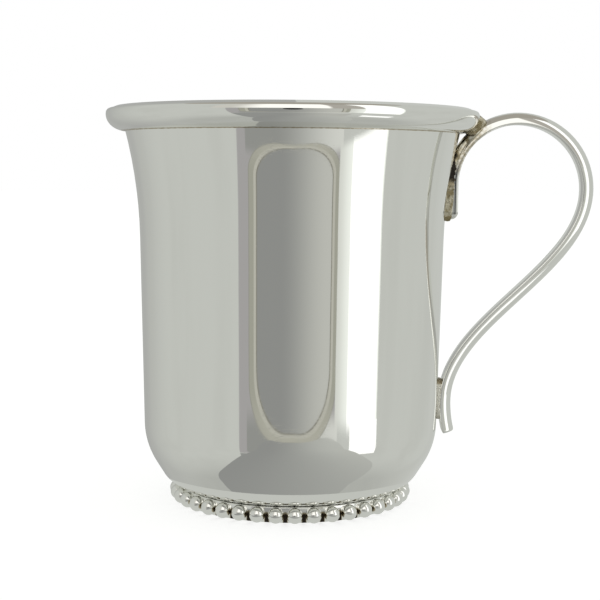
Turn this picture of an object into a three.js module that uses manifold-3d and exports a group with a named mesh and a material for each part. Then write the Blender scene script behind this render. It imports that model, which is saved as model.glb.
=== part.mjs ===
// Handled silver cup: a spun body with a flared mouth, an applied rim wire, a beaded foot ring
// and one half-round strap handle, all joined by solder.
// Millimetres, +Z up. The cup stands on Z = 0 with its handle towards +X.

import * as THREE from 'three';
import { mergeVertices } from 'three/addons/utils/BufferGeometryUtils.js';
import Module from 'manifold-3d';

// Whole cup
const cupHeight = 70.6;
const fitGap = 0.1;
const solderFilm = 0.2;

// Spun body: corners of its outer outline, and the rounds that soften them
const bodyWall = 0.7;
const baseRadius = 21.9;
const baseRound = 5;
const shoulderRadius = 26.55;
const shoulderHeight = 10.4;
const shoulderRound = 13;
const neckRadius = 27.6;
const neckDrop = 11.8;
const flareRound = 84;
const lipRadius = 31;
const lipDrop = 0.35;

// Applied rim wire: heights are measured down from the top of the cup
const rimProjection = 2.32;
const rimDepth = 4.3;
const rimWidestDrop = 1.4;
const rimCornerDrop = 0.4;
const rimCornerWidth = 0.9;
const rimCrestInset = 0.4;

// Beaded foot ring
const footHeight = 2.7;
const beadDiameter = 2.72;
const beadLift = 0.04;
const beadGap = 0.53;
const beadInset = 1.2;
const backingInset = 0.4;
const backingThickness = 1.7;
const beadPhase = THREE.MathUtils.degToRad(2.75);
const footFillet = 0.9;

// Strap handle: the path is the middle of the flat face that the finger touches
const strapWidth = 3.7;
const strapEdge = 0.42;
const strapThickness = 2.2;
const strapEndRound = 1.1;
const tipDrop = 19.6;
const tipThickness = 1.9;
const bendDrop = 13.3;
const bendReach = 10.75;
const bendRise = 6.6;
const bendEase = 5.4;
const loopRadius = 11.6;
const loopDrop = 0.35;
const backSweep = 14.2;
const tailSweep = 15.5;
const tailHeight = 17.8;
const tailRound = 24;
const tailLength = 6;

// Solder seams
const seamHalfWidth = 1.6;
const seamRise = 0.55;
const neckSeamStart = 1;
const neckSeamLength = 8.5;
const rimSeatAngle = THREE.MathUtils.degToRad(37);
const rimSeamLength = 2.6;
const tailSeamLength = 7;
const tailSeamLift = 0.6;

// Facets
const turns = 72;
const chordError = 0.03;
const wallSamples = 4;
const curveSides = 4;
const beadSides = 8;
const beadRings = 6;
const strapSides = 8;
const strapSteps = 60;
const strapEndSteps = 4;
const weldDistance = 1e-4;

const wasm = await Module();
wasm.setup();

// A closed geometry as a solid, without the flat triangles that a revolve leaves on its axis
function solid(geometry) {
  const bare = geometry.clone();
  bare.deleteAttribute('normal');
  bare.deleteAttribute('uv');
  const welded = mergeVertices(bare, weldDistance);
  const corners = welded.index.array;
  const kept = [];
  for (let i = 0; i < corners.length; i += 3) {
    const [a, b, c] = [corners[i], corners[i + 1], corners[i + 2]];
    if (a !== b && b !== c && c !== a) {
      kept.push(a, b, c);
    }
  }
  return new wasm.Manifold(new wasm.Mesh({
    numProp: 3,
    vertProperties: new Float32Array(welded.attributes.position.array),
    triVerts: new Uint32Array(kept),
  }));
}

function geometryOf(body) {
  const mesh = body.getMesh();
  const geometry = new THREE.BufferGeometry();
  geometry.setAttribute('position', new THREE.BufferAttribute(mesh.vertProperties, 3));
  geometry.setIndex(new THREE.BufferAttribute(mesh.triVerts, 1));
  geometry.computeVertexNormals();
  return geometry;
}

// A profile of radius and height, turned about the cup's axis
function revolve(profile) {
  return new THREE.LatheGeometry(profile, turns).rotateX(Math.PI / 2);
}

// An outline drawn in the handle's plane, X and Z, as a plate centred on that plane
function plate(outline, halfWidth) {
  const depth = 2 * halfWidth;
  const shape = new THREE.ExtrudeGeometry(outline, { depth, bevelEnabled: false });
  return shape.translate(0, 0, -halfWidth).rotateX(Math.PI / 2);
}

// Outline corners moved outwards by a distance: the first stays on the axis, the last at its height
function movedCorners(corners, distance) {
  const lines = corners.slice(1).map((end, i) => {
    const along = end.at.clone().sub(corners[i].at).normalize();
    const outward = new THREE.Vector2(along.y, -along.x);
    return { along, point: corners[i].at.clone().addScaledVector(outward, distance) };
  });
  return corners.map(({ at, round }, i) => {
    const before = lines[i - 1];
    const after = lines[i];
    if (!before) {
      return { at: after.point.clone(), round };
    }
    if (!after) {
      const climb = (at.y - before.point.y) / before.along.y;
      return { at: before.point.clone().addScaledVector(before.along, climb), round };
    }
    const turn = before.along.cross(after.along);
    const step = after.point.clone().sub(before.point).cross(after.along) / turn;
    const moved = before.point.clone().addScaledVector(before.along, step);
    return { at: moved, round: Math.max(0, round + Math.sign(turn) * distance) };
  });
}

// The same corners as points, with an arc at each round, limited by the straights beside it
function roundedPoints(corners) {
  const points = [];
  corners.forEach(({ at, round }, i) => {
    if (round === 0) {
      points.push(at);
      return;
    }
    const back = corners[i - 1].at.clone().sub(at);
    const ahead = corners[i + 1].at.clone().sub(at);
    const backRoom = corners[i - 1].round === 0 ? back.length() : back.length() / 2;
    const aheadRoom = corners[i + 1].round === 0 ? ahead.length() : ahead.length() / 2;
    const turn = Math.PI - back.angleTo(ahead);
    const reach = Math.min(round * Math.tan(turn / 2), backRoom, aheadRoom);
    const radius = reach / Math.tan(turn / 2);
    const steps = Math.ceil(turn / (2 * Math.acos(1 - chordError / radius)));
    const start = at.clone().addScaledVector(back.normalize(), reach);
    const side = Math.sign(ahead.cross(back));
    const inward = new THREE.Vector2(back.y, -back.x).multiplyScalar(side);
    const centre = start.clone().addScaledVector(inward, radius);
    for (let k = 0; k <= steps; k += 1) {
      points.push(start.clone().rotateAround(centre, side * turn * k / steps));
    }
  });
  return points;
}

// Spun body

const baseHeight = footHeight + fitGap;
const bodyCorners = [
  { at: new THREE.Vector2(0, baseHeight), round: 0 },
  { at: new THREE.Vector2(baseRadius, baseHeight), round: baseRound },
  { at: new THREE.Vector2(shoulderRadius, shoulderHeight), round: shoulderRound },
  { at: new THREE.Vector2(neckRadius, cupHeight - neckDrop), round: flareRound },
  { at: new THREE.Vector2(lipRadius, cupHeight - lipDrop), round: 0 },
];

function wallOutline(distance) {
  return roundedPoints(movedCorners(bodyCorners, distance));
}

// Outer radius of the wall at a height above the shoulder
const outerWall = wallOutline(0);

function wallRadius(height) {
  const above = outerWall.findIndex((point, i) => i > 1 && point.y >= height);
  const low = outerWall[above - 1];
  const high = outerWall[above];
  return THREE.MathUtils.mapLinear(height, low.y, high.y, low.x, high.x);
}

// The body's outside as a full solid, larger all round by a distance
function wallBlank(distance) {
  const outline = wallOutline(distance);
  return solid(revolve([...outline, new THREE.Vector2(0, outline.at(-1).y)]));
}

const bodyGeometry = revolve([...outerWall, ...wallOutline(-bodyWall).reverse()]);

// Rim wire: a swelling underside, a tight outer corner and a crest that slopes in to the lip

const rimRadius = lipRadius + rimProjection;
const crestRadius = lipRadius + fitGap + rimCrestInset;
const rimCrease = cupHeight - rimDepth;
const rimWidest = cupHeight - rimWidestDrop;
const creaseRadius = wallRadius(rimCrease) + fitGap;
const swellWidth = rimRadius - creaseRadius;
const swellHeight = rimWidest - rimCrease;

function rimOutline(distance) {
  const outline = new THREE.Path();
  const corner = rimRadius - rimCornerWidth;
  const cornerTop = cupHeight - rimCornerDrop + distance;
  const wide = swellWidth + distance;
  const deep = swellHeight + distance;
  outline.absellipse(creaseRadius, rimWidest, wide, deep, -Math.PI / 2, 0);
  outline.quadraticCurveTo(rimRadius + distance, cornerTop, corner, cornerTop);
  outline.lineTo(crestRadius, cupHeight + distance);
  return outline.getPoints(curveSides);
}

const rimBore = [];
for (let k = 0; k <= wallSamples; k += 1) {
  const height = THREE.MathUtils.lerp(cupHeight - lipDrop, rimCrease, k / wallSamples);
  rimBore.push(new THREE.Vector2(wallRadius(height) + fitGap, height));
}
const rimGeometry = revolve([...rimOutline(0), ...rimBore]);

// The rim's outside as a full solid, larger all round by a distance
function rimBlank(distance) {
  const outline = rimOutline(distance);
  const bottom = new THREE.Vector2(0, outline[0].y);
  const top = new THREE.Vector2(0, outline.at(-1).y);
  return solid(revolve([bottom, ...outline, top]));
}

// Beaded foot ring: a plain backing ring with round beads along its outside

const beadRadius = beadDiameter / 2;
const beadCircle = baseRadius - beadInset;
const beadPitch = beadDiameter + beadGap;
const beadCount = Math.round(2 * Math.PI * beadCircle / beadPitch);
const backingOuter = beadCircle - backingInset;
const backingInner = backingOuter - backingThickness;

const backing = revolve([
  new THREE.Vector2(backingInner, 0),
  new THREE.Vector2(backingOuter, 0),
  new THREE.Vector2(backingOuter, footHeight),
  new THREE.Vector2(backingInner, footHeight),
  new THREE.Vector2(backingInner, 0),
]);
let footRing = solid(backing);
for (let k = 0; k < beadCount; k += 1) {
  const bead = new THREE.SphereGeometry(beadRadius, beadSides, beadRings).rotateZ(-Math.PI / 2);
  bead.translate(beadCircle, 0, beadLift + beadRadius);
  bead.rotateZ(beadPhase - Math.PI / 2 + 2 * Math.PI * k / beadCount);
  footRing = footRing.add(solid(bead));
}

// Solder run in the corner between the backing ring and the underside of the base
const filletRadius = backingInner - fitGap;
const filletTop = baseHeight - fitGap;
const footSeam = revolve([
  new THREE.Vector2(filletRadius - footFillet, filletTop),
  new THREE.Vector2(filletRadius, filletTop - footFillet),
  new THREE.Vector2(filletRadius, filletTop),
  new THREE.Vector2(filletRadius - footFillet, filletTop),
]);

// Strap handle: up the neck, past the rim into a round loop, then in an S down to the wall

const seat = solderFilm + 2 * fitGap;
const tipHeight = cupHeight - tipDrop;
const bendHeight = cupHeight - bendDrop;
const legFace = wallRadius(tipHeight) + seat + tipThickness;
const tailFace = wallRadius(tailHeight) + seat;
const loopX = legFace + bendReach;
const loopTop = cupHeight - loopDrop - strapThickness;
const loopHeight = loopTop - loopRadius;
const backFace = loopX + loopRadius;
const tailCentre = new THREE.Vector2(tailFace + tailRound, tailHeight);
const tailTurn = tailLength / tailRound;

const strapRoute = new THREE.Path();
strapRoute.moveTo(legFace, tipHeight);
strapRoute.lineTo(legFace, bendHeight);
strapRoute.bezierCurveTo(
  legFace, bendHeight + bendRise,
  loopX - bendEase, loopTop,
  loopX, loopTop,
);
strapRoute.absarc(loopX, loopHeight, loopRadius, Math.PI / 2, 0, true);
strapRoute.bezierCurveTo(
  backFace, loopHeight - backSweep,
  tailFace, tailHeight + tailSweep,
  tailFace, tailHeight,
);
strapRoute.absarc(tailCentre.x, tailCentre.y, tailRound, Math.PI, Math.PI + tailTurn, false);
const strapLength = strapRoute.getLength();

// Places of the cross sections along the strap, closer together where its ends are rounded
const strapPlaces = [];
for (let k = 0; k < strapEndSteps; k += 1) {
  strapPlaces.push(strapEndRound * (1 - Math.cos(Math.PI / 2 * k / strapEndSteps)));
}
const strapMiddle = strapLength - 2 * strapEndRound;
for (let k = 0; k <= strapSteps; k += 1) {
  strapPlaces.push(strapEndRound + strapMiddle * k / strapSteps);
}
for (let k = strapEndSteps - 1; k >= 0; k -= 1) {
  strapPlaces.push(strapLength - strapPlaces[k]);
}

// Half-round section at a place: a flat towards the finger, low edges and a crown on the other side,
// narrower at the rounded ends, and larger all round by a distance
function strapSection(place, distance) {
  const fromEnd = Math.min(place, strapLength - place, strapEndRound);
  const trimmed = strapEndRound - Math.sqrt(strapEndRound ** 2 - (strapEndRound - fromEnd) ** 2);
  const half = strapWidth / 2 - trimmed;
  const crown = (strapThickness - strapEdge) * half / (strapWidth / 2);
  const domeRadius = (half ** 2 + crown ** 2) / (2 * crown) + distance;
  const domeCentre = strapEdge + crown + distance - domeRadius;
  const side = half + distance;
  const rise = Math.sqrt(domeRadius ** 2 - side ** 2);
  const start = Math.atan2(rise, side);
  const section = [new THREE.Vector2(-side, -distance), new THREE.Vector2(side, -distance)];
  for (let k = 0; k <= strapSides; k += 1) {
    const angle = THREE.MathUtils.lerp(start, Math.PI - start, k / strapSides);
    section.push(new THREE.Vector2(Math.cos(angle), Math.sin(angle)).multiplyScalar(domeRadius));
    section.at(-1).y += domeCentre;
  }
  return section;
}

// The strap as a loft of those sections, larger all round by a distance
function strapBar(distance) {
  const positions = [];
  const faces = [];
  strapPlaces.forEach((place) => {
    const at = strapRoute.getPointAt(place / strapLength);
    const along = strapRoute.getTangentAt(place / strapLength);
    strapSection(place, distance).forEach(({ x: across, y: outward }) => {
      positions.push(at.x - along.y * outward, across, at.y + along.x * outward);
    });
  });
  const sides = strapSides + 3;
  const last = sides * (strapPlaces.length - 1);
  for (let start = 0; start < last; start += sides) {
    for (let k = 0; k < sides; k += 1) {
      const [a, b] = [start + k, start + (k + 1) % sides];
      faces.push(a, b, b + sides, a, b + sides, a + sides);
    }
  }
  for (let k = 1; k < sides - 1; k += 1) {
    faces.push(0, k + 1, k, last, last + k, last + k + 1);
  }
  const bar = new THREE.BufferGeometry();
  bar.setAttribute('position', new THREE.Float32BufferAttribute(positions, 3));
  bar.setIndex(faces);
  return solid(bar);
}

const handle = strapBar(0).subtract(wallBlank(seat)).subtract(rimBlank(seat));

// Solder seams: what lies between the strap and its seat inside a small block

const strapRoom = strapBar(fitGap)
  .subtract(wallBlank(seat - fitGap))
  .subtract(rimBlank(seat - fitGap));

function seam(outline, under) {
  return solid(plate(outline, seamHalfWidth)).subtract(under).subtract(strapRoom);
}

// Strip along the wall from one height to another
function wallStrip(low, high) {
  const outer = [];
  for (let k = 0; k <= wallSamples; k += 1) {
    const height = THREE.MathUtils.lerp(low, high, k / wallSamples);
    outer.push(new THREE.Vector2(wallRadius(height) + fitGap + seamRise, height));
  }
  const inner = outer.map((point) => point.clone().setX(point.x - 2 * seamRise)).reverse();
  return new THREE.Shape([...outer, ...inner]);
}

const neckSeamLow = tipHeight + neckSeamStart;
const neckSeam = seam(wallStrip(neckSeamLow, neckSeamLow + neckSeamLength), wallBlank(fitGap));
const tailSeamMiddle = tailHeight + tailSeamLift;
const tailSeam = seam(
  wallStrip(tailSeamMiddle - tailSeamLength / 2, tailSeamMiddle + tailSeamLength / 2),
  wallBlank(fitGap),
);

// Patch on the rim's swelling, square to the line from the rim's seat to the loop's centre
const rimSeat = new THREE.Vector2(
  creaseRadius + swellWidth * Math.cos(rimSeatAngle),
  rimWidest - swellHeight * Math.sin(rimSeatAngle),
);
const seatOut = new THREE.Vector2(loopX, loopHeight).sub(rimSeat).normalize();
const seatUp = new THREE.Vector2(-seatOut.y, seatOut.x);
const rimPatch = [[-1, -1], [1, -1], [1, 1], [-1, 1]].map(([out, up]) => rimSeat.clone()
  .addScaledVector(seatOut, out * (fitGap + seamRise))
  .addScaledVector(seatUp, up * rimSeamLength / 2));
const rimSeam = seam(new THREE.Shape(rimPatch), rimBlank(fitGap));

// Assembly: the origin is on the table, under the middle of the whole outline

const silver = { color: 0xd9dad4, roughness: 0.08, metalness: 1 };
const wornSilver = { color: 0xc9c9c0, roughness: 0.18, metalness: 1 };
const solder = { color: 0x8f8672, roughness: 0.5, metalness: 0.8 };

const cup = new THREE.Group();

function place(name, geometry, finish) {
  const mesh = new THREE.Mesh(geometry, new THREE.MeshStandardMaterial(finish));
  mesh.name = name;
  cup.add(mesh);
}

place('cup_body', bodyGeometry, silver);
place('rim_wire', rimGeometry, silver);
place('foot_bead_ring', geometryOf(footRing), wornSilver);
place('handle_strap', geometryOf(handle), silver);
place('neck_solder_seam', geometryOf(neckSeam), solder);
place('rim_solder_seam', geometryOf(rimSeam), solder);
place('tail_solder_seam', geometryOf(tailSeam), solder);
place('foot_solder_seam', footSeam, solder);

const reach = backFace + strapThickness;
cup.position.x = (rimRadius - reach) / 2;

export default cup;
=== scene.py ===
# Handled silver cup: the finished surfaces of its eight pieces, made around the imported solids.
from math import ceil, cos, pi, radians, sin, tan

import bpy
from mathutils import Matrix, Vector


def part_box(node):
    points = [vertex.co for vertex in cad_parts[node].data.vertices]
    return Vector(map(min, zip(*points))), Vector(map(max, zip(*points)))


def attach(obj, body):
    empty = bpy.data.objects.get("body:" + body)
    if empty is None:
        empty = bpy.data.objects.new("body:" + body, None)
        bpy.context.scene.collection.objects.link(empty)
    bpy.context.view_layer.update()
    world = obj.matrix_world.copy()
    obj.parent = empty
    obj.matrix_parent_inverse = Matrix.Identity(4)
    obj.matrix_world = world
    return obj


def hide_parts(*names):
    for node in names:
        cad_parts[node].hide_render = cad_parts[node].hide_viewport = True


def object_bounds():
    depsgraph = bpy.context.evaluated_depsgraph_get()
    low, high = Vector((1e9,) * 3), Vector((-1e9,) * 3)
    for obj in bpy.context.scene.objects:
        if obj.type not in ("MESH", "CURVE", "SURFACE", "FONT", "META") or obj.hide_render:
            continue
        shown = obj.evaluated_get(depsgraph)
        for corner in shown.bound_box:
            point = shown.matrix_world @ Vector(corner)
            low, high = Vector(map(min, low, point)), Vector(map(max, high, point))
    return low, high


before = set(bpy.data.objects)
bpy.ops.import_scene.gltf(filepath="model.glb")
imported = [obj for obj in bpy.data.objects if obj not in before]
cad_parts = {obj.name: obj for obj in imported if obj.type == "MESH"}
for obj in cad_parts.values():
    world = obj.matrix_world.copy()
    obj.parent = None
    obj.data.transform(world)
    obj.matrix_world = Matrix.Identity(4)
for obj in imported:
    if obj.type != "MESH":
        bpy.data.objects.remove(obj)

cad_low, cad_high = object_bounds()


# Spun body
# One disc of silver, spun over a form into a cup with a flat bottom, a rounded shoulder, a straight
# wall and a flared neck. The sheet is 0.7 mm thick, and its outside is polished to a mirror.

mm = 0.001
body_low, body_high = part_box("cup_body")
axis = Vector(((body_low.x + body_high.x) / 2, 0, 0))
cup_height = cad_high.z
sheet = 0.7 * mm
base_radius = 21.9 * mm
base_round = 5 * mm
shoulder_radius = 26.55 * mm
shoulder_height = 10.4 * mm
shoulder_round = 13 * mm
neck_radius = 27.6 * mm
neck_drop = 11.8 * mm
flare_round = 84 * mm
lip_radius = (body_high.x - body_low.x) / 2
lip_round = 0.25 * mm
lip_segments = 4
bevelled_angle = radians(60)
wall_crisp_angle = radians(30)
outline_pitch = 1.5 * mm
arc_step = radians(2)
turns = 192
weld = 1e-6


def rounded_outline(corners):
    """Points (radius, height) along a chain of (radius, height, round) corners, with an arc at each round."""
    at = [Vector(corner[:2]) for corner in corners]
    points = [at[0]]
    for i in range(1, len(at) - 1):
        back = (at[i - 1] - at[i]).normalized()
        ahead = (at[i + 1] - at[i]).normalized()
        turn = pi - back.angle(ahead)
        middle = at[i] + (back + ahead).normalized() * corners[i][2] / cos(turn / 2)
        spoke = at[i] + back * corners[i][2] * tan(turn / 2) - middle
        side = -1 if back.cross(ahead) > 0 else 1
        steps = ceil(turn / arc_step)
        points += [middle + Matrix.Rotation(side * turn * k / steps, 2) @ spoke for k in range(steps + 1)]
    return points + [at[-1]]


def spaced(points, pitch):
    """The same chain with more points on its long straight stretches."""
    chain = [points[0]]
    for start, end in zip(points, points[1:]):
        parts = max(1, ceil((end - start).length / pitch))
        chain += [start.lerp(end, k / parts) for k in range(1, parts + 1)]
    return chain


def drawn(name, points):
    """A new mesh in edit mode: a chain of edges extruded from one vertex, point by point."""
    bpy.ops.object.select_all(action="DESELECT")
    bpy.ops.mesh.primitive_plane_add(size=mm)
    piece = bpy.context.object
    piece.name = name
    bpy.ops.object.mode_set(mode="EDIT")
    bpy.ops.mesh.select_mode(type="VERT")
    bpy.ops.mesh.merge(type="CENTER")
    bpy.ops.transform.translate(value=points[0])
    for start, end in zip(points, points[1:]):
        bpy.ops.mesh.extrude_region_move(TRANSFORM_OT_translate={"value": end - start})
    bpy.ops.mesh.select_all(action="SELECT")
    return piece


def turned(name, outline):
    """An outline of (radius, height) points, drawn beside the cup's axis and spun round it."""
    piece = drawn(name, [axis + Vector((radius, 0, height)) for radius, height in outline])
    bpy.ops.mesh.spin(steps=turns, angle=2 * pi, center=axis, axis=(0, 0, 1))
    bpy.ops.mesh.select_all(action="SELECT")
    bpy.ops.mesh.remove_doubles(threshold=weld)
    bpy.ops.mesh.normals_make_consistent(inside=False)
    bpy.ops.object.mode_set(mode="OBJECT")
    return piece


def apply_modifier(piece, kind, **settings):
    """Adds a modifier with its settings and applies it."""
    bpy.context.view_layer.objects.active = piece
    modifier = piece.modifiers.new(kind.lower(), kind)
    for name, value in settings.items():
        setattr(modifier, name, value)
    bpy.ops.object.modifier_apply(modifier=modifier.name)


def bevelled(piece, width, segments):
    """Rounds the sharp edges of a piece."""
    apply_modifier(
        piece, "BEVEL", width=width, segments=segments, limit_method="ANGLE", angle_limit=bevelled_angle,
    )


def smoothed(piece, angle):
    """Smooth shading, with edges sharper than the angle kept crisp."""
    bpy.ops.object.select_all(action="DESELECT")
    piece.select_set(True)
    bpy.context.view_layer.objects.active = piece
    bpy.ops.object.shade_smooth_by_angle(angle=angle)


wall_outline = spaced(rounded_outline([
    (0, body_low.z, 0),
    (base_radius, body_low.z, base_round),
    (shoulder_radius, shoulder_height, shoulder_round),
    (neck_radius, cup_height - neck_drop, flare_round),
    (lip_radius, body_high.z, 0),
]), outline_pitch)

cup_body = turned("spun_body", wall_outline)
apply_modifier(cup_body, "SOLIDIFY", thickness=sheet, offset=-1, use_even_offset=True)
bevelled(cup_body, lip_round, lip_segments)
smoothed(cup_body, wall_crisp_angle)

# Its polished silver, which the rim has too: a mirror with a faint hand-made wobble, fine handling
# scratches and brown to black tarnish where a polishing cloth doesn't reach

silver_colour = (0.9, 0.9, 0.865, 1)
# The straw and black tarnish colours also stand for painted shade between the beads
straw_tarnish_and_shade = (0.42, 0.36, 0.24, 1)
black_tarnish_and_shade = (0.03, 0.024, 0.018, 1)
tarnish_and_shade_scale = 1600
tarnish_and_shade_gain = 1.45
tarnish_and_shade_breakup = -0.45
tarnish_and_shade_roughness = 0.4
wobble_depth = 0.008 * mm
wobble_scale = 95
cloud_scale = 240
scratch_depth = 0.02
scratch_haze = 0.35
scratch_sets = (
    ((0.3, 0.2, 0.9), (220, 9000, 9000)),
    ((1.1, 0.7, 0.2), (260, 7000, 7000)),
    ((0.5, 1.3, 2.2), (300, 11000, 11000)),
)


def add(tree, kind, feeds, **settings):
    """A new shader node with its options set, and its inputs fed with links or plain values."""
    made = tree.nodes.new("ShaderNode" + kind)
    for name, value in settings.items():
        setattr(made, name, value)
    for name, feed in feeds.items():
        if isinstance(feed, bpy.types.NodeSocket):
            tree.links.new(feed, made.inputs[name])
        else:
            made.inputs[name].default_value = feed
    return made


def calc(tree, operation, first, second=0, third=0):
    """The result of a math node."""
    return add(tree, "Math", {0: first, 1: second, 2: third}, operation=operation).outputs[0]


def vector_calc(tree, operation, first, second=(0, 0, 0)):
    """The outputs of a vector math node: the first is a vector, and Value is a number."""
    return add(tree, "VectorMath", {0: first, 1: second}, operation=operation).outputs


def split(tree, vector):
    """The X, Y and Z of a vector."""
    return add(tree, "SeparateXYZ", {"Vector": vector}).outputs


def from_axis(tree, place):
    """A place as seen from the foot of the cup's axis."""
    return vector_calc(tree, "SUBTRACT", place, axis)[0]


def ramp(tree, value, start, end, low=0, high=1):
    """A value that eases from low to high while another goes from start to end."""
    feeds = {"Value": value, "From Min": start, "From Max": end, "To Min": low, "To Max": high}
    return add(tree, "MapRange", feeds, interpolation_type="SMOOTHSTEP").outputs["Result"]


def blend(tree, part, under, over):
    """One colour laid over another."""
    feeds = {"Factor": part, "A": under, "B": over}
    return add(tree, "Mix", feeds, data_type="RGBA").outputs["Result"]


def noise(tree, place, scale, detail=2):
    """Grey noise at a number of features per metre."""
    return add(tree, "TexNoise", {"Vector": place, "Scale": scale, "Detail": detail}).outputs["Fac"]


def new_group(name, inputs, outputs):
    """A node group with its sockets: its tree, what it is given and what it puts out."""
    tree = bpy.data.node_groups.new(name, "ShaderNodeTree")
    for label, kind in inputs.items():
        tree.interface.new_socket(label, in_out="INPUT", socket_type="NodeSocket" + kind)
    for label, kind in outputs.items():
        tree.interface.new_socket(label, in_out="OUTPUT", socket_type="NodeSocket" + kind)
    return tree, tree.nodes.new("NodeGroupInput").outputs, tree.nodes.new("NodeGroupOutput").inputs


# Scratches run in every direction, so three noises stretched to lines lie across each other
marks, given, result = new_group("handling_marks", {"Place": "Vector"}, {"Height": "Float", "Haze": "Float"})
lines = 0
for turn, stretch in scratch_sets:
    feeds = {"Vector": given["Place"], "Rotation": turn, "Scale": stretch}
    across = add(marks, "Mapping", feeds, vector_type="POINT").outputs[0]
    lines = calc(marks, "ADD", lines, ramp(marks, noise(marks, across, 1, 1), 0.66, 0.74))
wobble = noise(marks, given["Place"], wobble_scale, 1)
cloud = ramp(marks, noise(marks, given["Place"], cloud_scale), 0.45, 0.75)
scored = calc(marks, "SUBTRACT", wobble, calc(marks, "MULTIPLY", lines, scratch_depth))
marks.links.new(scored, result["Height"])
marks.links.new(calc(marks, "MULTIPLY_ADD", lines, scratch_haze, cloud), result["Haze"])

# Tarnish goes from clean silver through straw and brown to black, with a broken edge. The same colours paint
# the shade between the beads.
tarnish_and_shade, given, result = new_group(
    "tarnish_and_shade", {"Place": "Vector", "Clean": "Color", "Amount": "Float"}, {"Color": "Color", "Dull": "Float"},
)
broken = calc(tarnish_and_shade, "MULTIPLY", noise(tarnish_and_shade, given["Place"], tarnish_and_shade_scale, 4), tarnish_and_shade_breakup)
worn = calc(tarnish_and_shade, "MULTIPLY_ADD", given["Amount"], tarnish_and_shade_gain, broken)
straw = blend(tarnish_and_shade, ramp(tarnish_and_shade, worn, 0, 0.35), given["Clean"], straw_tarnish_and_shade)
tarnish_and_shade.links.new(blend(tarnish_and_shade, ramp(tarnish_and_shade, worn, 0.3, 0.8), straw, black_tarnish_and_shade), result["Color"])
tarnish_and_shade.links.new(ramp(tarnish_and_shade, worn, 0, 0.7), result["Dull"])


def metal(name, polish, haze):
    """Silver with handling marks and tarnish, which on the beads is painted shade: material, tree, place, and
    the socket for the tarnish and painted shade.
    """
    material = bpy.data.materials.new(name)
    material.use_nodes = True
    tree = material.node_tree
    shader = tree.nodes["Principled BSDF"]
    place = add(tree, "TexCoord", {}).outputs["Object"]
    scuffs = add(tree, "Group", {"Place": place}, node_tree=marks).outputs
    film = add(tree, "Group", {"Place": place, "Clean": silver_colour, "Amount": 0.0}, node_tree=tarnish_and_shade)
    hazy = calc(tree, "MULTIPLY_ADD", scuffs["Haze"], haze, polish)
    rough = calc(tree, "MULTIPLY_ADD", film.outputs["Dull"], tarnish_and_shade_roughness, hazy)
    relief = add(tree, "Bump", {"Height": scuffs["Height"], "Distance": wobble_depth, "Strength": 1.0})
    shader.inputs["Metallic"].default_value = 1
    tree.links.new(film.outputs["Color"], shader.inputs["Base Color"])
    tree.links.new(rough, shader.inputs["Roughness"])
    tree.links.new(relief.outputs[0], shader.inputs["Normal"])
    return material, tree, place, film.inputs["Amount"]


# A thin brown line is left in the crease under the rim
rim_low, rim_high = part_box("rim_wire")
rim_crease = rim_low.z
crease_core = 0.04 * mm
crease_reach = 0.2 * mm
crease_tarnish = 0.35

silver, tree, place, amount = metal("polished_silver", polish=0.02, haze=0.03)
height = split(tree, place)["Z"]
off_crease = calc(tree, "ABSOLUTE", calc(tree, "SUBTRACT", height, rim_crease))
in_crease = ramp(tree, off_crease, crease_core, crease_reach, crease_tarnish, 0)

# The inside was left satin from the spinning tool, so it scatters some of the light
satin_metallic = 0.5
inside_floor_low = 12 * mm
inside_floor_high = 16 * mm

facing = add(tree, "TexCoord", {}).outputs["Normal"]
level = vector_calc(tree, "MULTIPLY", from_axis(tree, place), (1, 1, 0))[0]
spoke = vector_calc(tree, "NORMALIZE", level)[0]
outward = vector_calc(tree, "DOT_PRODUCT", facing, spoke)["Value"]
upward = ramp(tree, split(tree, facing)["Z"], 0.2, 0.6)
low_down = ramp(tree, height, inside_floor_low, inside_floor_high, 1, 0)
on_floor = calc(tree, "MULTIPLY", upward, low_down)
inside = calc(tree, "MAXIMUM", ramp(tree, outward, -0.4, -0.1, 1, 0), on_floor)
metallic = ramp(tree, inside, 0, 1, 1, satin_metallic)
tree.links.new(metallic, tree.nodes["Principled BSDF"].inputs["Metallic"])
tree.links.new(calc(tree, "MULTIPLY", in_crease, ramp(tree, inside, 0, 0.5, 1, 0)), amount)

cup_body.data.materials.append(silver)
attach(cup_body, "root")
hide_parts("cup_body")


# Rim wire
# A thick silver moulding bent to a ring and soldered round the lip: a swelling underside, a tight
# outer corner and a crest that slopes in to the lip, all polished flush.

rim_radius = (rim_high.x - rim_low.x) / 2
rim_widest = cup_height - 1.4 * mm
rim_corner_width = 0.9 * mm
rim_corner_drop = 0.4 * mm
rim_crest_inset = 0.5 * mm
rim_crest_round = 0.3 * mm
rim_fit = 0.02 * mm
swell_steps = 24
corner_steps = 10
trim_crisp_angle = radians(35)


def wall_radius(height):
    """Outer radius of the body's wall at a height above its shoulder."""
    above = next(i for i, point in enumerate(wall_outline) if point.y >= height and i > 1)
    low, high = wall_outline[above - 1], wall_outline[above]
    return low.x + (high.x - low.x) * (height - low.y) / (high.y - low.y)


crease_radius = wall_radius(rim_crease) + rim_fit
swell_width = rim_radius - crease_radius
swell_depth = rim_widest - rim_crease


def rim_outline(distance):
    """The moulding's outside from its crease to its crest, larger by a distance."""
    points = []
    for k in range(swell_steps + 1):
        angle = pi / 2 * k / swell_steps
        radius = crease_radius + (swell_width + distance) * sin(angle)
        points.append(Vector((radius, rim_widest - (swell_depth + distance) * cos(angle))))
    start = points[-1]
    corner = Vector((rim_radius + distance, cup_height - rim_corner_drop + distance))
    end = Vector((rim_radius - rim_corner_width, cup_height - rim_corner_drop + distance))
    for k in range(1, corner_steps + 1):
        part = k / corner_steps
        points.append(start.lerp(corner, part).lerp(corner.lerp(end, part), part))
    points.append(Vector((lip_radius + rim_crest_inset, cup_height + distance)))
    return points


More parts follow.
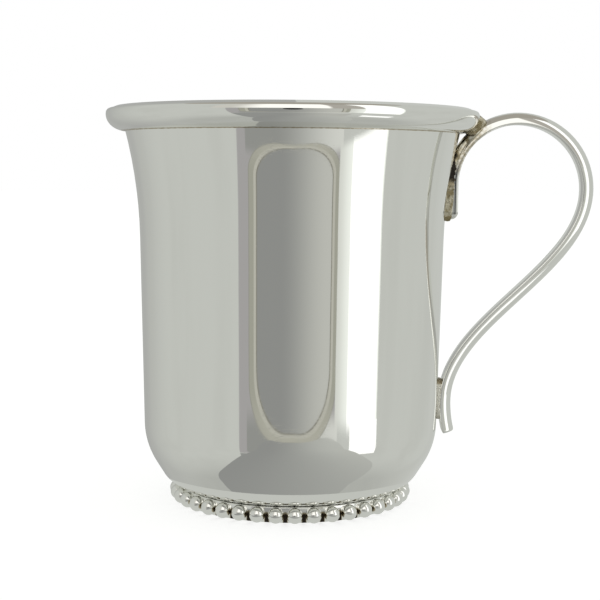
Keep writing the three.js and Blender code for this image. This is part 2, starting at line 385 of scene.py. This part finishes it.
rim_bore = [
    Vector((wall_radius(height) + rim_fit, height))
    for height in (body_high.z, (body_high.z + rim_crease) / 2, rim_crease)
]
rim_outside = rim_outline(0)
rim_crest = rounded_outline([
    (*rim_outside[-2], 0),
    (*rim_outside[-1], rim_crest_round),
    (*rim_bore[0], 0),
])
rim_section = rim_outside[:-2] + rim_crest + spaced(rim_bore, outline_pitch)
rim_wire = turned("rim_wire_ring", spaced(rim_section, outline_pitch))
smoothed(rim_wire, trim_crisp_angle)

rim_wire.data.materials.append(silver)
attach(rim_wire, "root")
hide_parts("rim_wire")


# Beaded foot ring
# Bead wire rolled in one piece, a plain backing with round beads along its outside, bent to a ring
# and soldered under the bottom of the cup.

bead_count = 40
bead_radius = 1.36 * mm
bead_lift = 0.04 * mm
bead_circle = base_radius - 1.2 * mm
bead_pitch = 2 * pi / bead_count
bead_phase = radians(2.75)
bead_sink = 0.1 * mm
bead_segments = 28
bead_rings = 18
backing_height = body_low.z - 0.02 * mm
backing_outer = bead_circle - 0.4 * mm
backing_inner = backing_outer - 1.7 * mm
backing_round = 0.25 * mm
backing_segments = 3

foot_ring = turned("bead_foot", spaced([
    Vector((backing_inner, 0)),
    Vector((backing_outer, 0)),
    Vector((backing_outer, backing_height)),
    Vector((backing_inner, backing_height)),
    Vector((backing_inner, 0)),
], outline_pitch))
bevelled(foot_ring, backing_round, backing_segments)

# One bead, cut off behind where it grows out of the backing
bpy.ops.object.select_all(action="DESELECT")
bpy.ops.mesh.primitive_uv_sphere_add(
    segments=bead_segments, ring_count=bead_rings, radius=bead_radius,
    location=axis + Vector((bead_circle, 0, bead_lift + bead_radius)), rotation=(0, pi / 2, 0),
)
bead = bpy.context.object
bpy.ops.object.transform_apply(location=True, rotation=True)
bpy.ops.object.mode_set(mode="EDIT")
bpy.ops.mesh.select_all(action="SELECT")
bpy.ops.mesh.bisect(
    plane_co=axis + Vector((backing_outer - bead_sink, 0, 0)), plane_no=(1, 0, 0),
    use_fill=True, clear_inner=True,
)

# It is turned to its place at the front, and copied all round
bpy.ops.mesh.select_all(action="SELECT")
bpy.ops.mesh.spin(steps=1, angle=pi / 2 - bead_phase, center=axis, axis=(0, 0, 1), dupli=True)
bpy.ops.mesh.select_all(action="INVERT")
bpy.ops.mesh.delete(type="VERT")
bpy.ops.mesh.select_all(action="SELECT")
bpy.ops.mesh.spin(
    steps=bead_count - 1, angle=2 * pi - bead_pitch, center=axis, axis=(0, 0, 1), dupli=True,
)
bpy.ops.object.mode_set(mode="OBJECT")
bpy.ops.object.select_all(action="DESELECT")
bead.select_set(True)
foot_ring.select_set(True)
bpy.context.view_layer.objects.active = foot_ring
bpy.ops.object.join()
smoothed(foot_ring, trim_crisp_angle)

# Painted shade: black deep in the gaps between the beads, most of it below their middles, where the shade
# falls
bead_shade_low = 1 * mm
bead_shade_high = 2.2 * mm
bead_shade_left_on_top = 0.12

bead_silver, tree, place, amount = metal("bead_silver", polish=0.03, haze=0.05)
spot = split(tree, from_axis(tree, place))
turn = calc(tree, "ARCTAN2", spot["Y"], spot["X"])
step = calc(tree, "DIVIDE", calc(tree, "SUBTRACT", turn, bead_phase - pi / 2 + bead_pitch / 2), bead_pitch)
off_gap = calc(tree, "ABSOLUTE", calc(tree, "SUBTRACT", step, calc(tree, "ROUND", step)))
shade_in_gap = ramp(tree, off_gap, 0.02, 0.2, 1, 0)
low_down = ramp(tree, spot["Z"], bead_shade_low, bead_shade_high, 1, bead_shade_left_on_top)
tree.links.new(calc(tree, "MULTIPLY", shade_in_gap, low_down), amount)

foot_ring.data.materials.append(bead_silver)
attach(foot_ring, "root")
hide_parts("foot_bead_ring")


# Strap handle
# A half-round silver strip forged flat with filed ends, then bent to a question mark: up the neck,
# round in a loop beside the rim, and down in an S to the wall, where its flat side is soldered.

strap_half = 1.85 * mm
strap_land = 0.42 * mm
strap_thickness = 2.2 * mm
strap_corner = 0.2 * mm
strap_seat = 0.1 * mm
solder_room = 0.4 * mm
tip_round = 1.3 * mm
tip_core = 0.85 * strap_thickness
tip_height = cup_height - 19.6 * mm
bend_height = cup_height - 13.3 * mm
bend_rise = 6.6 * mm
bend_ease = 5.4 * mm
leg_face = axis.x + wall_radius(tip_height) + solder_room + 1.9 * mm
loop_x = leg_face + 10.75 * mm
loop_top = cup_height - 0.35 * mm - strap_thickness
loop_radius = 11.6 * mm
loop_height = loop_top - loop_radius
back_face = loop_x + loop_radius
back_sweep = 14.2 * mm
tail_sweep = 15.5 * mm
tail_height = 17.8 * mm
tail_face = axis.x + wall_radius(tail_height) + solder_room
tail_round = 24 * mm
tail_turn = 6 * mm / tail_round
tail_end_round = 0.45 * mm
tail_core = 0.5 * strap_thickness
dome_steps = 24
strap_corner_steps = 3
bend_resolution = 48
length_resolution = 400
bend_cuts = 100
end_steps = 6

quarter = loop_radius * 4 / 3 * tan(pi / 8)
tail_handle = tail_round * 4 / 3 * tan(tail_turn / 4)
tail_end = Vector((
    tail_face + tail_round * (1 - cos(tail_turn)),
    tail_height - tail_round * sin(tail_turn),
))
tail_heading = Vector((sin(tail_turn), -cos(tail_turn)))

# Knots of the bend, each with the handle before it, itself and the handle after it
bend_knots = [
    ((leg_face, tip_height - mm), (leg_face, tip_height), (leg_face, tip_height + mm)),
    ((leg_face, bend_height - mm), (leg_face, bend_height), (leg_face, bend_height + bend_rise)),
    ((loop_x - bend_ease, loop_top), (loop_x, loop_top), (loop_x + quarter, loop_top)),
    ((back_face, loop_height + quarter), (back_face, loop_height), (back_face, loop_height - back_sweep)),
    ((tail_face, tail_height + tail_sweep), (tail_face, tail_height), (tail_face, tail_height - tail_handle)),
    (tail_end - tail_heading * tail_handle, tail_end, tail_end + tail_heading * tail_handle),
]

bpy.ops.object.select_all(action="DESELECT")
bpy.ops.curve.primitive_bezier_curve_add(location=(0, 0, 0))
bend = bpy.context.object
bend.data.dimensions = "2D"
bend.data.resolution_u = bend_resolution
spline = bend.data.splines[0]
spline.bezier_points.add(len(bend_knots) - len(spline.bezier_points))
for point, (before, at, after) in zip(spline.bezier_points, bend_knots):
    point.handle_left_type = "FREE"
    point.handle_right_type = "FREE"
    point.handle_left = (*before, 0)
    point.co = (*at, 0)
    point.handle_right = (*after, 0)
bend_length = spline.calc_length(resolution=length_resolution)

# The flat strip: its section, drawn across X, extruded and divided for the bend
strap_crown = strap_thickness - strap_land
dome_radius = (strap_half ** 2 + strap_crown ** 2) / (2 * strap_crown)
dome_middle = strap_thickness - dome_radius
dome_start = Vector((strap_half, strap_land - dome_middle)).angle_signed(Vector((1, 0)))
section = []
for k in range(dome_steps + 1):
    angle = dome_start + (pi - 2 * dome_start) * k / dome_steps
    section.append(Vector((0, dome_middle + dome_radius * sin(angle), dome_radius * cos(angle))))
for side in (-1, 1):
    corner_middle = Vector((0, strap_corner, side * (strap_half - strap_corner)))
    for k in range(strap_corner_steps + 1):
        angle = (k if side < 0 else strap_corner_steps - k) * pi / 2 / strap_corner_steps
        section.append(corner_middle + strap_corner * Vector((0, -sin(angle), side * cos(angle))))
section.append(section[0])

strap = drawn("strap_handle", section)
bpy.ops.mesh.remove_doubles(threshold=weld)
bpy.ops.mesh.edge_face_add()
bpy.ops.mesh.extrude_region_move(TRANSFORM_OT_translate={"value": (bend_length, 0, 0)})
bpy.ops.object.mode_set(mode="OBJECT")


def select_where(piece, kind, test):
    """Selects the edges or faces of a piece, in edit mode, whose middle passes a test."""
    bpy.context.view_layer.objects.active = piece
    bpy.ops.object.mode_set(mode="EDIT")
    bpy.ops.mesh.select_mode(type=kind)
    bpy.ops.mesh.select_all(action="DESELECT")
    bpy.ops.object.mode_set(mode="OBJECT")
    points = piece.data.vertices
    for item in piece.data.edges if kind == "EDGE" else piece.data.polygons:
        item.select = test(sum((points[i].co for i in item.vertices), Vector()) / len(item.vertices))
    bpy.ops.object.mode_set(mode="EDIT")


select_where(strap, "EDGE", lambda middle: abs(middle.x - bend_length / 2) < mm)
bpy.ops.mesh.subdivide(number_cuts=bend_cuts)

# Filed ends: the tip is rounded down to the wall, the tail is blunt with its edges broken
for end_x, outward, end_round, core in (
    (0, -1, tip_round, tip_core),
    (bend_length, 1, tail_end_round, tail_core),
):
    select_where(strap, "FACE", lambda middle: abs(middle.x - end_x) < weld)
    bpy.ops.transform.translate(value=(-outward * end_round, 0, 0))
    reach, inset = 0, 0
    for k in range(1, end_steps + 1):
        angle = pi / 2 * k / end_steps
        step = end_round * sin(angle) - reach
        further = end_round * (1 - cos(angle))
        squeeze = (
            1,
            (strap_thickness - further) / (strap_thickness - inset),
            (strap_half - further) / (strap_half - inset),
        )
        bpy.ops.mesh.extrude_region_move(TRANSFORM_OT_translate={"value": (outward * step, 0, 0)})
        bpy.ops.transform.resize(value=squeeze, center_override=(0, core, 0))
        reach, inset = reach + step, further
bpy.ops.object.mode_set(mode="OBJECT")

# The strip is bent along the curve and stood up
apply_modifier(strap, "CURVE", object=bend, deform_axis="POS_X")
bpy.data.objects.remove(bend)
strap.rotation_euler = (pi / 2, 0, 0)
bpy.ops.object.select_all(action="DESELECT")
strap.select_set(True)
bpy.ops.object.transform_apply(rotation=True)
bpy.ops.object.mode_set(mode="EDIT")
bpy.ops.mesh.select_all(action="SELECT")
bpy.ops.mesh.normals_make_consistent(inside=False)
bpy.ops.object.mode_set(mode="OBJECT")


def wall_file(distance):
    """The body's outline moved outwards by a distance and closed across the mouth."""
    moved = [point + Vector((distance, 0)) if point.x else point for point in wall_outline]
    return [*moved, Vector((0, moved[-1].y))]


def filed(piece, outline):
    """Cuts a spun outline out of a piece, and drops the empty material slot that the cut leaves."""
    cutter = turned("cutter", outline)
    apply_modifier(piece, "BOOLEAN", object=cutter, operation="DIFFERENCE", solver="MANIFOLD")
    bpy.data.objects.remove(cutter)
    piece.data.materials.clear()


# Cupped seats: the dome is filed hollow where it lies on the neck and on the rim
rim_file = [
    Vector((0, rim_crease - strap_seat)),
    *rim_outline(strap_seat),
    Vector((0, cup_height + strap_seat)),
]
filed(strap, wall_file(strap_seat))
filed(strap, rim_file)
smoothed(strap, trim_crisp_angle)

# The handle's silver is tarnished round its two joints, where solder was never polished off
crotch = (leg_face - 1 * mm, tip_height + 11.5 * mm)
rim_touch = (leg_face + 1.1 * mm, tip_height + 15.4 * mm)
brown_stain = 0.3
black_stain = 0.7

handle_silver, tree, place, amount = metal("handle_silver", polish=0.035, haze=0.05)
flat = vector_calc(tree, "MULTIPLY", place, (1, 0, 1))[0]
stained = 0
for (x, z), inner, outer, strength in (
    (crotch, 2 * mm, 6 * mm, brown_stain),
    (crotch, 0.2 * mm, 2 * mm, black_stain),
    (rim_touch, 2 * mm, 9 * mm, brown_stain),
    (rim_touch, 0.2 * mm, 1.6 * mm, black_stain),
):
    far = vector_calc(tree, "DISTANCE", flat, (x, 0, z))["Value"]
    stained = calc(tree, "MAXIMUM", stained, ramp(tree, far, inner, outer, strength, 0))
tree.links.new(stained, amount)

strap.data.materials.append(handle_silver)
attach(strap, "root")
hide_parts("handle_strap")


# Neck, rim and tail solder
# Silver solder that ran between the strap and the cup and was left unpolished: a long run up the neck,
# a patch where the strap passes the rim, and a pale run behind the strap's lower end.

solder_sink = 0.2 * mm
solder_crisp_angle = radians(50)
solder_grain = 0.12 * mm
solder_metallic = 0.75
patch_scale = 700
speck_scale = 3200
lump_share = 0.3
lump_cuts = 2
lump_levels = 5


def solder_run(name, node, shift, half_sizes, tilt, lump):
    """A lumpy run of solder at its solid's middle, moved by a shift, cut off just under the cup's skin."""
    low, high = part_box(node)
    bpy.ops.object.select_all(action="DESELECT")
    bpy.ops.mesh.primitive_cube_add(size=2 * mm)
    piece = bpy.context.object
    piece.name = name
    bpy.ops.object.mode_set(mode="EDIT")
    bpy.ops.mesh.select_all(action="SELECT")
    bpy.ops.mesh.subdivide(number_cuts=lump_cuts)
    bpy.ops.transform.resize(value=half_sizes, center_override=(0, 0, 0))
    bpy.ops.transform.rotate(value=tilt, orient_axis="Y", center_override=(0, 0, 0))
    bpy.ops.transform.translate(value=(low + high) / 2 + Vector(shift) * mm)
    bpy.ops.object.mode_set(mode="OBJECT")
    apply_modifier(piece, "SUBSURF", levels=lump_levels, render_levels=lump_levels)
    bumps = bpy.data.textures.new(name, "CLOUDS")
    bumps.noise_scale = lump
    apply_modifier(
        piece, "DISPLACE", texture=bumps, texture_coords="LOCAL", strength=lump_share * lump, mid_level=0.5,
    )
    filed(piece, wall_file(-solder_sink))
    smoothed(piece, solder_crisp_angle)
    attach(piece, "root")
    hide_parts(node)
    return piece


def solder(name, pale, brown):
    """Dull solder, pale where it is rubbed and brown in patches, with specks: material, tree, height, specks
    and the socket that takes the tarnish."""
    material = bpy.data.materials.new(name)
    material.use_nodes = True
    tree = material.node_tree
    shader = tree.nodes["Principled BSDF"]
    place = add(tree, "TexCoord", {}).outputs["Object"]
    patches = noise(tree, place, patch_scale, 3)
    specks = noise(tree, place, speck_scale, 2)
    streaked = blend(tree, ramp(tree, patches, 0.42, 0.62), brown, pale)
    film = add(tree, "Group", {"Place": place, "Clean": streaked, "Amount": 0.0}, node_tree=tarnish_and_shade)
    lumps = calc(tree, "ADD", specks, patches)
    relief = add(tree, "Bump", {"Height": lumps, "Distance": solder_grain, "Strength": 0.6})
    shader.inputs["Metallic"].default_value = solder_metallic
    tree.links.new(film.outputs["Color"], shader.inputs["Base Color"])
    tree.links.new(ramp(tree, patches, 0.35, 0.7, 0.5, 0.28), shader.inputs["Roughness"])
    tree.links.new(relief.outputs[0], shader.inputs["Normal"])
    return material, tree, split(tree, place)["Z"], ramp(tree, specks, 0.62, 0.7), film.inputs["Amount"]


neck_solder = solder_run(
    "neck_solder", "neck_solder_seam",
    shift=(0.3, 0, 0), half_sizes=(0.8, 1.8, 5.6), tilt=radians(-7), lump=0.7 * mm,
)
rim_solder = solder_run(
    "rim_solder", "rim_solder_seam",
    shift=(-0.1, 0, 0.2), half_sizes=(1, 1.85, 2), tilt=radians(-40), lump=0.5 * mm,
)
tail_solder = solder_run(
    "tail_solder", "tail_solder_seam",
    shift=(0.05, 0, -0.2), half_sizes=(0.5, 1.85, 3.7), tilt=radians(-1), lump=0.4 * mm,
)

# The upper solder is blackest in the crotch below the rim
tarnished, tree, height, pits, amount = solder(
    "tarnished_solder", pale=(0.62, 0.58, 0.45, 1), brown=(0.3, 0.25, 0.14, 1),
)
smoked = ramp(tree, height, tip_height + 5 * mm, tip_height + 8 * mm, 0.1, 0.75)
fading = ramp(tree, height, tip_height + 14.5 * mm, tip_height + 16 * mm, 1, 0.2)
smoked = calc(tree, "MULTIPLY", smoked, fading)
tree.links.new(calc(tree, "MAXIMUM", smoked, calc(tree, "MULTIPLY", pits, 0.7)), amount)
for piece in (neck_solder, rim_solder):
    piece.data.materials.append(tarnished)

# The lower solder is pale, and brown only at its two ends
pale_solder, tree, height, pits, amount = solder(
    "pale_solder", pale=(0.86, 0.84, 0.76, 1), brown=(0.68, 0.65, 0.55, 1),
)
at_top = ramp(tree, height, tail_height + 2.9 * mm, tail_height + 3.6 * mm)
at_foot = ramp(tree, height, tail_height - 3.6 * mm, tail_height - 3 * mm, 1, 0)
burnt = calc(tree, "MULTIPLY", calc(tree, "MAXIMUM", at_top, at_foot), 0.5)
tree.links.new(calc(tree, "MAXIMUM", burnt, calc(tree, "MULTIPLY", pits, 0.2)), amount)
tail_solder.data.materials.append(pale_solder)


# Foot solder
# A thin run of the same solder in the corner between the foot's backing ring and the bottom of the cup,
# drawn in by the heat to a hollow fillet.

foot_seam_low, foot_seam_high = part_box("foot_solder_seam")
fillet = foot_seam_high.z - foot_seam_low.z
fillet_steps = 8
fillet_edge = Vector((backing_inner - fillet, body_low.z))
fillet_foot = Vector((backing_inner, body_low.z - fillet))
fillet_middle = Vector((backing_inner - fillet, body_low.z - fillet))

hollow = []
for k in range(1, fillet_steps):
    angle = pi / 2 * k / fillet_steps
    hollow.append(fillet_middle + fillet * Vector((sin(angle), cos(angle))))
foot_solder = turned("foot_solder", [
    fillet_edge,
    *hollow,
    fillet_foot,
    fillet_foot + Vector((solder_sink, 0)),
    Vector((backing_inner + solder_sink, body_low.z + solder_sink)),
    fillet_edge + Vector((0, solder_sink)),
    fillet_edge,
])
smoothed(foot_solder, solder_crisp_angle)

foot_solder.data.materials.append(pale_solder)
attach(foot_solder, "root")
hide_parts("foot_solder_seam")


# Studio: a plain pale floor, and a tent that only the metal sees, with the window, panel and lamp that the
# polished wall mirrors

tent_radius = 300 * mm
tent_top = 500 * mm
tent_bottom = -600 * mm
tent_tone = (0.575, 0.59, 0.565, 1)
degree = tent_radius * pi / 180
corner_stretch = 4.4
no_bottom = -900


def glow_only(piece, name):
    """Makes a studio piece visible to the metal alone, with a bare light: its tree and the light's colour."""
    material = bpy.data.materials.new(name)
    material.use_nodes = True
    tree = material.node_tree
    tree.nodes.clear()
    light = add(tree, "Emission", {})
    add(tree, "OutputMaterial", {"Surface": light.outputs[0]})
    piece.name = name
    piece.data.materials.append(material)
    piece.visible_camera = False
    piece.visible_diffuse = False
    piece.visible_shadow = False
    return tree, light.inputs["Color"]


# A panel's mask: full inside its two sides and its bottom, with rounded lower corners and a soft edge
panel_mask, given, result = new_group(
    "rounded_panel",
    {label: "Float" for label in ("Across", "Up", "Left", "Right", "Bottom", "Round", "Soft")},
    {"Mask": "Float"},
)
middle = calc(panel_mask, "MULTIPLY", calc(panel_mask, "ADD", given["Left"], given["Right"]), 0.5)
half = calc(panel_mask, "MULTIPLY", calc(panel_mask, "SUBTRACT", given["Right"], given["Left"]), 0.5)
aside = calc(panel_mask, "ABSOLUTE", calc(panel_mask, "SUBTRACT", given["Across"], middle))
beyond = calc(panel_mask, "SUBTRACT", aside, calc(panel_mask, "SUBTRACT", half, given["Round"]))
corner_height = calc(panel_mask, "ADD", given["Bottom"], given["Round"])
under = calc(panel_mask, "SUBTRACT", corner_height, given["Up"])
corner = add(panel_mask, "CombineXYZ", {
    "X": calc(panel_mask, "MAXIMUM", beyond),
    "Y": calc(panel_mask, "MAXIMUM", under),
}).outputs[0]
reach = vector_calc(panel_mask, "LENGTH", corner)["Value"]
outside = calc(panel_mask, "SUBTRACT", reach, given["Round"])
panel_mask.links.new(ramp(panel_mask, outside, 0, given["Soft"], 1, 0), result["Mask"])

bpy.ops.object.select_all(action="DESELECT")
bpy.ops.mesh.primitive_cylinder_add(
    vertices=256, radius=tent_radius, depth=tent_top - tent_bottom,
    location=axis + Vector((0, 0, (tent_top + tent_bottom) / 2)),
)
tent = bpy.context.object
bpy.ops.object.transform_apply(location=True)
tent_tree, tent_light = glow_only(tent, "tent")
tent_place = add(tent_tree, "TexCoord", {}).outputs["Object"]
spot = split(tent_tree, from_axis(tent_tree, tent_place))
bearing = calc(tent_tree, "ARCTAN2", spot["X"], calc(tent_tree, "MULTIPLY", spot["Y"], -1))
across = calc(tent_tree, "MULTIPLY", bearing, tent_radius)
up = spot["Z"]


def panel(left, right, bottom=no_bottom, corner_round=0, soft=3):
    """A mask for a panel on the tent, between two bearings in degrees and above a bottom in millimetres."""
    return add(tent_tree, "Group", {
        "Across": across,
        "Up": calc(tent_tree, "MULTIPLY", up, corner_stretch),
        "Left": left * degree,
        "Right": right * degree,
        "Bottom": bottom * corner_stretch * mm,
        "Round": corner_round * mm,
        "Soft": soft * mm,
    }, node_tree=panel_mask).outputs["Mask"]


def above(start, end):
    """A mask that fades in between two heights in millimetres."""
    return ramp(tent_tree, up, start * mm, end * mm)


def below(start, end):
    """A mask that fades out between two heights in millimetres."""
    return ramp(tent_tree, up, start * mm, end * mm, 1, 0)


def both(first, second):
    """Where two masks meet."""
    return calc(tent_tree, "MULTIPLY", first, second)


def sideways(left, right, left_tone, right_tone):
    """A colour that goes from one tone to another between two bearings in degrees."""
    return blend(tent_tree, ramp(tent_tree, across, left * degree, right * degree), left_tone, right_tone)


room_shade = ramp(tent_tree, across, -165 * degree, -95 * degree, 1, 0)
room_clouds = ramp(tent_tree, noise(tent_tree, tent_place, 9, 3), 0.4, 0.7, 0, 0.35)
frame_tone = blend(tent_tree, above(-56, -30), (0.44, 0.435, 0.38, 1), (0.37, 0.37, 0.32, 1))
lamp_end = above(-53, -44)
overhead = above(84, 92)

# The tent's tones, each laid over those before it
tent_layers = [
    # the shaded room behind the left side, the table far below, and faint clouds over all
    (room_shade, (0.4, 0.405, 0.395, 1)),
    (below(-400, -110), (0.45, 0.46, 0.44, 1)),
    (room_clouds, (0.5, 0.51, 0.485, 1)),
    # the dark wall round the window, what lies below it, and the gap under the window's frame
    (both(below(-96, -84), panel(-36.8, 36)), sideways(-8, 27, (0.3, 0.305, 0.3, 1), (0.48, 0.485, 0.46, 1))),
    (panel(-36.8, 34, -86), (0.39, 0.38, 0.385, 1)),
    (both(below(-50, -40), panel(-31, 34, -86, 60)),
     sideways(-12, 36, (0.3, 0.305, 0.295, 1), (0.68, 0.69, 0.66, 1))),
    # the window's frame, from its outer edge to its inner one, and its pane
    (panel(-29.7, 32.7, -55.2, 110, 1.5), (0.31, 0.31, 0.275, 1)),
    (panel(-29.2, 32.2, -54.9, 109, 1.5), frame_tone),
    (panel(-26, 29.8, -52.9, 110, 1.5), (0.5, 0.495, 0.44, 1)),
    (panel(-24.3, 28.2, -51.7, 111, 1.5), (0.25, 0.245, 0.215, 1)),
    (panel(-23.5, 27.5, -51, 110, 2), sideways(-8, 27, (0.285, 0.29, 0.285, 1), (0.53, 0.535, 0.505, 1))),
    # the white lamp and the sheen beside it
    (both(panel(32.5, 66, soft=2), lamp_end), sideways(32, 42, (0.7, 0.715, 0.68, 1), (0.95, 0.98, 0.94, 1))),
    (both(panel(41.5, 65), lamp_end), (1.25, 1.25, 1.25, 1)),
    # a dark and a bright patch overhead, which the rim mirrors, and the tent's shaded top
    (both(overhead, panel(18, 40, soft=8)), (0.44, 0.42, 0.385, 1)),
    (both(overhead, panel(-44, 20, soft=16)),
     sideways(-36, -14, (0.62, 0.61, 0.57, 1), (1.15, 1.14, 1.1, 1))),
    (above(470, 495), (0.38, 0.36, 0.32, 1)),
]
tone = tent_tone
for mask, colour in tent_layers:
    tone = blend(tent_tree, mask, tone, colour)
tent_tree.links.new(tone, tent_light)

# The lamp's shine low beside the painted shadow
shine_width = 45 * mm
shine_height = 24 * mm
shine_place = axis + Vector((94, -75, -16)) * mm
shine_bearing = radians(52)

bpy.ops.object.select_all(action="DESELECT")
bpy.ops.mesh.primitive_plane_add(size=1, location=shine_place, rotation=(pi / 2, 0, shine_bearing))
shine = bpy.context.object
shine.scale = (shine_width, shine_height, 1)
bpy.ops.object.transform_apply(location=True, rotation=True, scale=True)
tree, shine_light = glow_only(shine, "lamp_shine")
shine_light.default_value = (1.2, 1.2, 1.2, 1)

# The camera's dark front
front_radius = 24 * mm
front_place = axis + Vector((1.55, -250, 60)) * mm

bpy.ops.object.select_all(action="DESELECT")
bpy.ops.mesh.primitive_circle_add(
    vertices=64, radius=front_radius, fill_type="NGON", location=front_place, rotation=(pi / 2, 0, 0),
)
camera_front = bpy.context.object
bpy.ops.object.transform_apply(location=True, rotation=True)
tree, front_light = glow_only(camera_front, "camera_front")
front_light.default_value = (0.02, 0.02, 0.02, 1)

# A painted shadow that only the metal mirrors: the cup's shadow as a grey patch on the floor in front of it,
# and a pale disc over it close round the foot
disc_radius = 25 * mm
disc_place = axis - Vector((0, 0, 0.1 * mm))
painted_shadow_drop = 0.2
painted_shadow_left_tone = (0.29, 0.295, 0.29, 1)
painted_shadow_lit_right_tone = (0.5, 0.51, 0.485, 1)
painted_shadow_corners = [
    (0, -21.5, 0),
    (-19, -21.5, 6),
    (-26.5, -50, 60),
    (-27, -87, 10),
    (46, -85, 16),
    (42, -50, 40),
    (28.5, -24, 10),
    (0, -21.5, 0),
]

bpy.ops.object.select_all(action="DESELECT")
bpy.ops.mesh.primitive_circle_add(vertices=96, radius=disc_radius, fill_type="NGON", location=disc_place)
disc = bpy.context.object
bpy.ops.object.transform_apply(location=True)
tree, disc_light = glow_only(disc, "pale_disc")
disc_light.default_value = (0.57, 0.585, 0.56, 1)

painted_shadow_outline = rounded_outline(painted_shadow_corners)
painted_shadow = drawn("painted_shadow", [axis + Vector((*point, -painted_shadow_drop)) * mm for point in painted_shadow_outline])
bpy.ops.mesh.remove_doubles(threshold=weld)
bpy.ops.mesh.edge_face_add()
bpy.ops.object.mode_set(mode="OBJECT")
tree, painted_shadow_colour = glow_only(painted_shadow, "painted_shadow")
# Painted lamp light: the painted shadow is lighter towards the right, on the lamp's side
side = split(tree, add(tree, "TexCoord", {}).outputs["Object"])["X"]
painted_lamp_light = ramp(tree, side, axis.x - 20 * mm, axis.x + 45 * mm)
tree.links.new(blend(tree, painted_lamp_light, painted_shadow_left_tone, painted_shadow_lit_right_tone), painted_shadow_colour)

# The floor of pale paper, which the camera sees as white, with the cup's shadow on it
floor_size = 6
floor_drop = 0.5 * mm
paper_colour = (0.5, 0.5, 0.5, 1)
paper_glow = 0.75

bpy.ops.object.select_all(action="DESELECT")
bpy.ops.mesh.primitive_plane_add(size=floor_size, location=(0, 0, -floor_drop))
floor = bpy.context.object
floor.name = "floor"
floor.visible_glossy = False
floor_material = bpy.data.materials.new("pale_floor")
floor_material.use_nodes = True
tree = floor_material.node_tree
tree.nodes.clear()
seen = add(tree, "LightPath", {}).outputs["Is Camera Ray"]
paper = add(tree, "BsdfDiffuse", {"Color": paper_colour}).outputs[0]
glow = add(tree, "Emission", {"Strength": calc(tree, "MULTIPLY", seen, paper_glow)}).outputs[0]
lit_paper = add(tree, "AddShader", {0: paper, 1: glow}).outputs[0]
add(tree, "OutputMaterial", {"Surface": lit_paper})
floor.data.materials.append(floor_material)

# Soft light from all round, behind which the camera sees white
room_light = (0.58, 0.59, 0.565, 1)
white = (1, 1, 1, 1)

world = bpy.data.worlds.new("pale_tent")
bpy.context.scene.world = world
world.use_nodes = True
tree = world.node_tree
seen = add(tree, "LightPath", {}).outputs["Is Camera Ray"]
tree.links.new(blend(tree, seen, room_light, white), tree.nodes["Background"].inputs["Color"])

bpy.context.scene.view_settings.view_transform = "Standard"


# Camera at the photograph's viewing angle

camera_place = axis + Vector((1.55, -238.2, 59.8)) * mm
camera_pitch = radians(5.69)
camera_roll = radians(0.5)

camera_data = bpy.data.cameras.new("camera")
camera_data.sensor_width = 36
camera_data.lens = 78.8
camera = bpy.data.objects.new("camera", camera_data)
bpy.context.scene.collection.objects.link(camera)
camera.matrix_world = (
    Matrix.Translation(camera_place)
    @ Matrix.Rotation(pi / 2 - camera_pitch, 4, "X")
    @ Matrix.Rotation(camera_roll, 4, "Z")
)
bpy.context.scene.camera = camera
